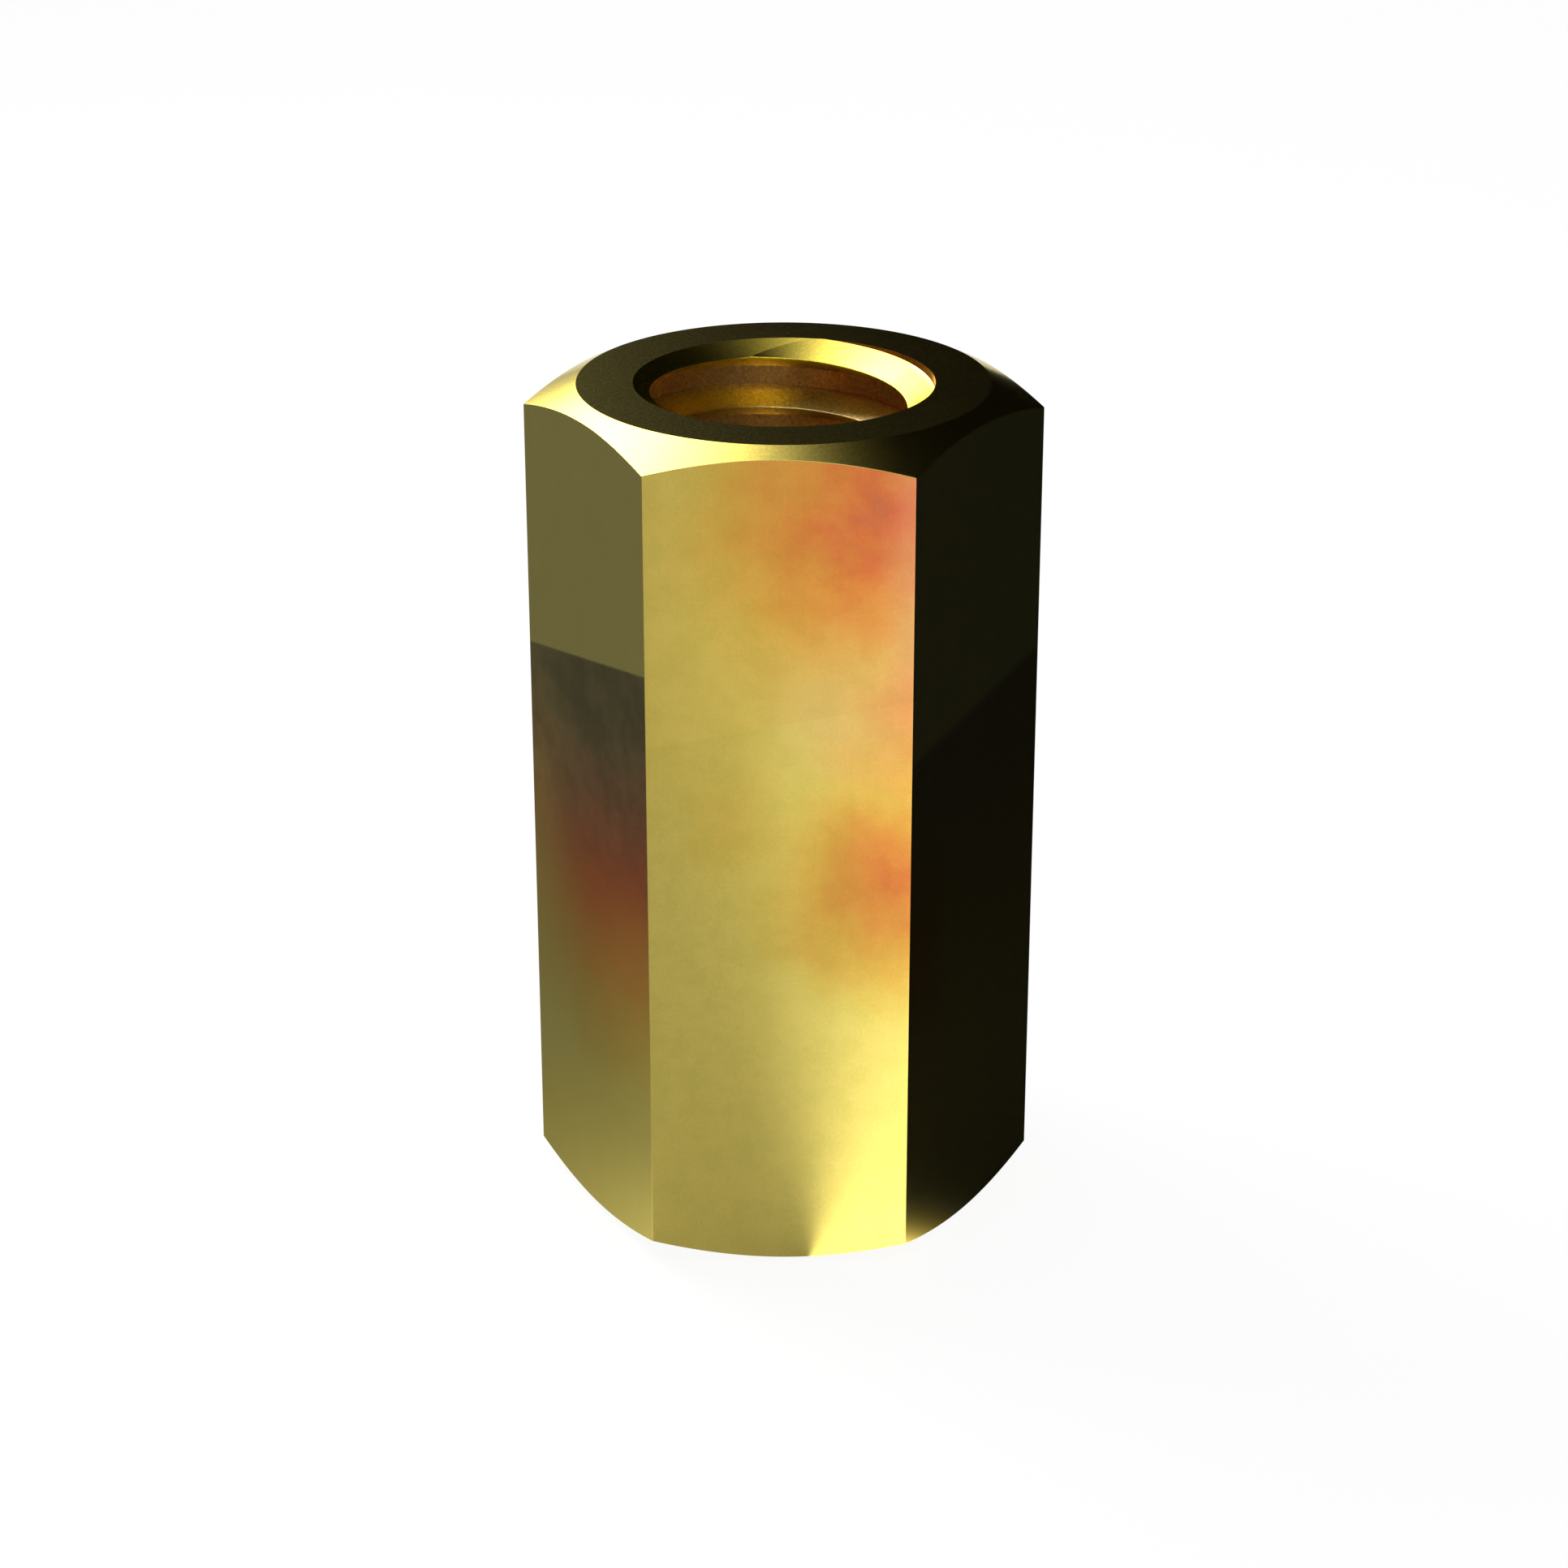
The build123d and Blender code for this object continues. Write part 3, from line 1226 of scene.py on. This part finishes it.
# %% [markdown]
# ## The dark tent
#
# On the photo's chamfer a glow burns out on the near left and dies away evenly
# to nearly black on the right. In the countersink, which leans inwards, it is
# the other way round. That is how a small lamp looks on satin metal, but satin
# metal would blur what is crisp in the photo. So the turned surfaces stay
# glossy, and the glow is painted on a dark tent behind the nut, with the formula
# of a satin lobe: brightest where a surface half way between the camera and the
# lamp would send the eye, and fading with the slope away from that. A painted
# flag, a patch of painted shade on the tent, dims it low down on the left, and a
# grey wall closes that side.

# %% Dark tent and grey wall
satin_spread, glow_level, tent_level = 0.29, 8.5, 0.004
painted_flag_strength = 0.55
camera_way = from_nut(-88.8, 17.2, 1)
glow_way = from_nut(150, 45, 1)
glossiest = (camera_way + glow_way).normalized()

tent, tree, glow = glowing("dark tent")
towards = vector_calc(tree, "NORMALIZE", tree.nodes.new("ShaderNodeTexCoord").outputs["Object"])
half_way = vector_calc(tree, "NORMALIZE", vector_calc(tree, "ADD", towards, camera_way))
upright = vector_calc(tree, "DOT_PRODUCT", half_way, glossiest)
square = calc(tree, "MULTIPLY", upright, upright)
lean = calc(tree, "SUBTRACT", calc(tree, "DIVIDE", 1.0, square), 1.0)
lobe = calc(tree, "EXPONENT", calc(tree, "DIVIDE", lean, -satin_spread ** 2))
lobe = calc(tree, "DIVIDE", lobe, calc(tree, "MULTIPLY", square, square))
lobe = calc(tree, "DIVIDE", lobe, vector_calc(tree, "DOT_PRODUCT", half_way, camera_way))
parts = split(tree, towards)
# A painted flag: painted shade on the tent, low down on the left.
to_left = smooth_step(tree, parts["X"], 0.03, -0.12)
to_floor = smooth_step(tree, parts["Z"], 0.45, 0.15)
painted_flag = calc(tree, "MULTIPLY_ADD", calc(tree, "MULTIPLY", to_left, to_floor), -painted_flag_strength, 1.0)
level = calc(tree, "MULTIPLY_ADD", calc(tree, "MULTIPLY", lobe, painted_flag), glow_level, tent_level)
tree.links.new(level, glow.inputs["Strength"])
hang_card(dome_sheet("dark tent", (-45, 128), (0, 89)), tent)
hang_card(dome_sheet("tent corner", (128, 165), (40, 89)), tent)

wall, tree, glow = glowing("grey wall", (1, 1.05, 1.5, 1))
glow.inputs["Strength"].default_value = 0.25
hang_card(dome_sheet("grey wall", (128, 200), (0, 40)), wall)
print("hung the dark tent, its corner and the grey wall")

# %% [markdown]
# ## Cards on the floor
#
# Each flat mirrors the floor in front of it, so a card there sets how bright the
# flat is. A black card lies to the right and a grey one to the left. The pools
# of light on them are what the photo shows near the foot of each flat.

# %% Black card and grey card
far = 320
card_lift = 0.03
front_left, front_right = (-half_side, -apothem), (half_side, -apothem)


def floor_card(name, corners, lift=card_lift):
    """A card just above the floor; gives its tree, its Emission node and the place in millimetres."""
    material, tree, glow = glowing(name)
    hang_card(flat_sheet(name, [(x, y, lift) for x, y in corners]), material)
    place = tree.nodes.new("ShaderNodeTexCoord").outputs["Object"]
    return tree, glow, vector_calc(tree, "MULTIPLY", place, (1 / MM, 1 / MM, 1 / MM))


def tint_card(tree, glow, share, near, beyond):
    """Colours a card's glow, by a share that is 1 in its pool of light and 0 beyond."""
    tree.links.new(blend_colours(tree, share, beyond, near), glow.inputs["Color"])


def pool(tree, place, centre, level, fade, rest):
    """A round pool of light that dies away from its centre, on top of the rest."""
    away = vector_calc(tree, "DISTANCE", place, (*centre, 0))
    share = calc(tree, "EXPONENT", calc(tree, "DIVIDE", away, -fade))
    return calc(tree, "MULTIPLY_ADD", share, level, rest)


right_corners = [front_right, (far, -far), (far, far), (0.3 * far, far), (3.5, 0.2)]
tree, glow, place = floor_card("black card", right_corners)
level = pool(tree, place, (1.9, -3.1), 12.0, 0.27, 0.0092)
tree.links.new(level, glow.inputs["Strength"])
tint_card(tree, glow, smooth_step(tree, level, 0.01, 0.1), white, (1, 1.22, 2.2, 1))

left_corners = [(-3.5, 0), (-0.4 * far, far), (-far, far), (-far, -far), (-0.3 * far, -far), front_left]
tree, glow, place = floor_card("grey card", left_corners)
level = pool(tree, place, (-2.4, -4.2), 1.13, 2.4, 0.225)
tree.links.new(level, glow.inputs["Strength"])
tint_card(tree, glow, smooth_step(tree, level, 0.225, 0.34), (1, 1.01, 1.08, 1), (1, 1.05, 1.5, 1))
print("laid the black card and the grey card")

# %% [markdown]
# ## The card in front
#
# The front flat of the photo is half dim and half bright. The boundary starts at
# its foot, just right of the middle, and gets softer and wider upwards, as the
# shadow of a far edge does. So the front card has a dim half and a bright half,
# and the step between them widens with the distance from the nut.

# %% Front card
front_lift = 0.05
shadow_softness = 0.21
tree, glow, place = floor_card("front card", [front_left, (-20, -75), (75, -75), front_right], front_lift)
parts = split(tree, place)
out = calc(tree, "SUBTRACT", -apothem, parts["Y"])
near = calc(tree, "EXPONENT", calc(tree, "DIVIDE", out, -1.68))
edge = calc(tree, "MULTIPLY_ADD", near, -0.362, 0.753)
past = calc(tree, "DIVIDE", calc(tree, "SUBTRACT", parts["X"], edge), out)
share = smooth_step(tree, past, -shadow_softness, shadow_softness)
# Painted shadow: a dark pool at the nut's foot on the dim half, and both halves are a little darker close
# to the nut. Painted light: a bright pool at the front corner on the bright half.
nearby = calc(tree, "EXPONENT", calc(tree, "DIVIDE", out, -12.0))
dim = pool(tree, place, (0.4, -3.0), -0.23, 0.9, calc(tree, "MULTIPLY_ADD", nearby, -0.03, 0.64))
bright = pool(tree, place, (1.73, -3.0), 0.83, 4.74, calc(tree, "MULTIPLY_ADD", nearby, -0.15, 1.88))
level = calc(tree, "MULTIPLY_ADD", calc(tree, "SUBTRACT", bright, dim), share, dim)
tree.links.new(level, glow.inputs["Strength"])
print("laid the front card")

# %% [markdown]
# ## Sizes and finish
#
# The finer skin must stay inside the box of the imported model, so that box is
# printed here.

# %% Sizes and finish
print("packed box:", [list(corner) for corner in cad_box])
